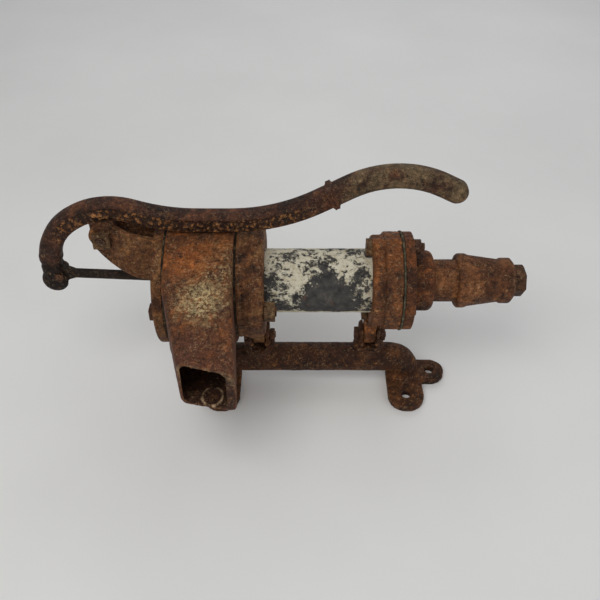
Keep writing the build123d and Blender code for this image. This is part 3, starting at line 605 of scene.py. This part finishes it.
def threads(axis_y, axis_z, radius, pitch, x0, x1):
    """Worn screw threads on a stud that lies along X."""
    def relief(piece, places, normals):
        away = from_axis(places, axis_y, axis_z)
        turn = np.arctan2(places[:, 2] - axis_z, places[:, 1] - axis_y) / (2 * math.pi)
        wave = np.sin(2 * math.pi * (places[:, 0] / pitch + turn))
        inside = beyond(places[:, 0], x0, x0 + 0.6) * beyond(places[:, 0], x1, x1 - 0.6)
        return 0.28 * wave * inside * (np.abs(away - radius) < 0.9)
    return relief


def joined(*reliefs):
    """The sum of several reliefs."""
    return lambda *mesh: sum(relief(*mesh) for relief in reliefs)


def reducer_relief(piece, places, normals):
    """A parting line and the faint raised nubs of the fitting."""
    front = band(np.degrees(np.arctan2(places[:, 2] - AXIS_Z, -places[:, 1])), 25, 6)
    out = from_axis(places) > 20
    return out * 0.35 * front * beyond(places[:, 0], 150, 154) + 0.18 * speckle(places, 6.0, 9.0)


# ---- pieces -----------------------------------------------------------------------------------------
def castings():
    """The big castings of the pump body."""
    recast("mounting_bracket_cast", "mounting_bracket", "frame", "bracket", 1.1, 6, 0.9,
           bracket_relief)
    recast("fulcrum_cap_cast", "fulcrum_cap", "frame", "cap", 0.9, 4, 0.5)
    recast("spout_head_cast", "spout_head", "frame", "drum", 1.1, 5, 0.5, drum_relief)
    recast("upper_flange_cast", "upper_flange", "frame", "upper", 0.9, 5, 0.6,
           upper_relief)
    recast("lower_flange_cast", "lower_flange", "frame", "lower", 0.9, 5, 0.8,
           lower_relief)
    recast("suction_cover_cast", "suction_cover", "frame", "cover", 0.9, 4, 0.5)
    recast("barrel_tube", "cylinder_barrel", "frame", "paint", 0.9, 2, 0.25)


def fittings():
    """The suction pipe work."""
    recast("suction_nipple_pipe", "suction_nipple", "frame", "pipe", 0.5, 1, 0.2)
    recast("reducer_fitting", "reducer_coupling", "frame", "pipe", 0.8, 4, 0.4,
           reducer_relief)
    recast("hex_plug_worn", "hex_plug", "frame", "plug", 0.6, 4, 0.3)


def gaskets():
    """The sheet gaskets, which show as thin lines round the joints."""
    recast("cap_gasket_edge", "cap_gasket", "frame", "dark_leather", 0.5, 1, 0.2)
    recast("head_gasket_edge", "head_gasket", "frame", "dark_leather", 0.5, 1, 0.2)
    recast("base_gasket_edge", "base_gasket", "frame", "leather", 0.5, 1, 0.4)


def fasteners():
    """Bolts and nuts, with worn corners and threads."""
    head_threads = joined(*(threads(y, z, 4.7, 1.75, *HEAD_STUD) for y, z in HEAD_BOLTS))
    flange_threads = joined(
        *(threads(0, AXIS_Z + s * FLANGE_BOLT_Z, 3.9, 1.5, *FLANGE_STUD) for s in (-1, 1)))
    neck_threads = joined(
        *(threads(0, NECK_BOLT_Z, 3.4, 1.25, *(s * NECK_X + x for x in NECK_STUD)) for s in (-1, 1)))
    recast("head_bolts_worn", "head_bolts", "frame", "bolt", 0.45, 3, 0.2, head_threads)
    recast("head_nuts_worn", "head_nuts", "frame", "nut", 0.45, 4, 0.25)
    recast("flange_bolts_worn", "flange_bolts", "frame", "nut", 0.45, 3, 0.2, flange_threads)
    recast("flange_nuts_worn", "flange_nuts", "frame", "bolt", 0.45, 4, 0.25)
    recast("bracket_bolts_worn", "bracket_bolts", "frame", "bolt", 0.45, 3, 0.2, neck_threads)
    recast("bracket_nuts_worn", "bracket_nuts", "frame", "bolt", 0.45, 4, 0.25)
    recast("fulcrum_bolt_worn", "fulcrum_bolt", "frame", "bolt", 0.4, 3, 0.2)
    recast("fulcrum_nut_worn", "fulcrum_nut", "frame", "nut", 0.4, 4, 0.25)


def linkage():
    """The lever, its pin and the rod."""
    recast("handle_cast", "handle", "lever", "handle", 0.8, 4, 0.3, handle_relief)
    recast("rod_pin_worn", "rod_pin", "lever", "bolt", 0.3, 2, 0.1)
    recast("piston_rod_worn", "piston_rod", "rod", "rod", 0.5, 3, 0.2)


def inside():
    """The valves and piston keep their CAD shapes and take better finishes."""
    for node, finish in {
        "piston_cage": "bronze", "piston_follower": "bronze", "piston_valve": "bronze", "piston_pin": "steel",
        "piston_cup": "leather", "foot_valve_flap": "leather", "foot_valve_weight": "malleable",
        "foot_valve_rivet": "bronze",
    }.items():
        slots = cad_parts[node].material_slots
        for slot in slots:
            slot.link = "OBJECT"
            slot.material = FINISH[finish]


# ---- room -------------------------------------------------------------------------------------------
def floor_finish():
    """Plain pale card with a faint tooth."""
    t = Tree("pale_floor")
    colour = t.ramp(t.noise(3, 4, 0.5), [(0.3, rgb(240, 240, 238)), (0.7, rgb(248, 248, 246))])
    return t.done(colour, 0.7, t.bump(t.noise(300, 4, 0.5), 0.05), gloss=0.3)


def floor():
    """A wide disc at the height of the mounting plane."""
    low = CAD_BOX[0].z
    mesh = bpy.data.meshes.new("floor")
    turns = np.linspace(0, 2 * math.pi, FLOOR_SIDES + 1)[:-1]
    ring = [(FLOOR_REACH * math.cos(a), FLOOR_REACH * math.sin(a), low) for a in turns]
    mesh.from_pydata(ring, [], [list(range(FLOOR_SIDES))])
    sheet = bpy.data.objects.new("floor", mesh)
    bpy.context.scene.collection.objects.link(sheet)
    sheet.data.materials.append(floor_finish())


def lamp(name, place, target, size, power, tint):
    """A soft square lamp aimed at a point."""
    light = bpy.data.lights.new(name, "AREA")
    light.size = size
    light.energy = power
    light.color = tint
    body = bpy.data.objects.new(name, light)
    body.location = place
    body.rotation_euler = (Vector(target) - Vector(place)).to_track_quat("-Z", "Y").to_euler()
    bpy.context.scene.collection.objects.link(body)


def room():
    """Soft studio light from above and in front, and the camera."""
    world = bpy.data.worlds.new("studio")
    world.use_nodes = True
    background = world.node_tree.nodes["Background"]
    background.inputs["Color"].default_value = (0.97, 0.98, 1.0, 1.0)
    background.inputs["Strength"].default_value = 0.36
    bpy.context.scene.world = world
    for name, setting in LAMPS.items():
        lamp(name, *setting)
    camera = bpy.data.cameras.new("view")
    camera.lens = 45
    camera.sensor_width = 36
    holder = bpy.data.objects.new("view", camera)
    holder.location = CAMERA_PLACE
    holder.rotation_euler = (math.radians(CAMERA_TILT), 0, 0)
    bpy.context.scene.collection.objects.link(holder)
    bpy.context.scene.camera = holder
    bpy.context.scene.view_settings.view_transform = "Standard"


castings()
fittings()
gaskets()
fasteners()
linkage()
inside()
floor()
room()
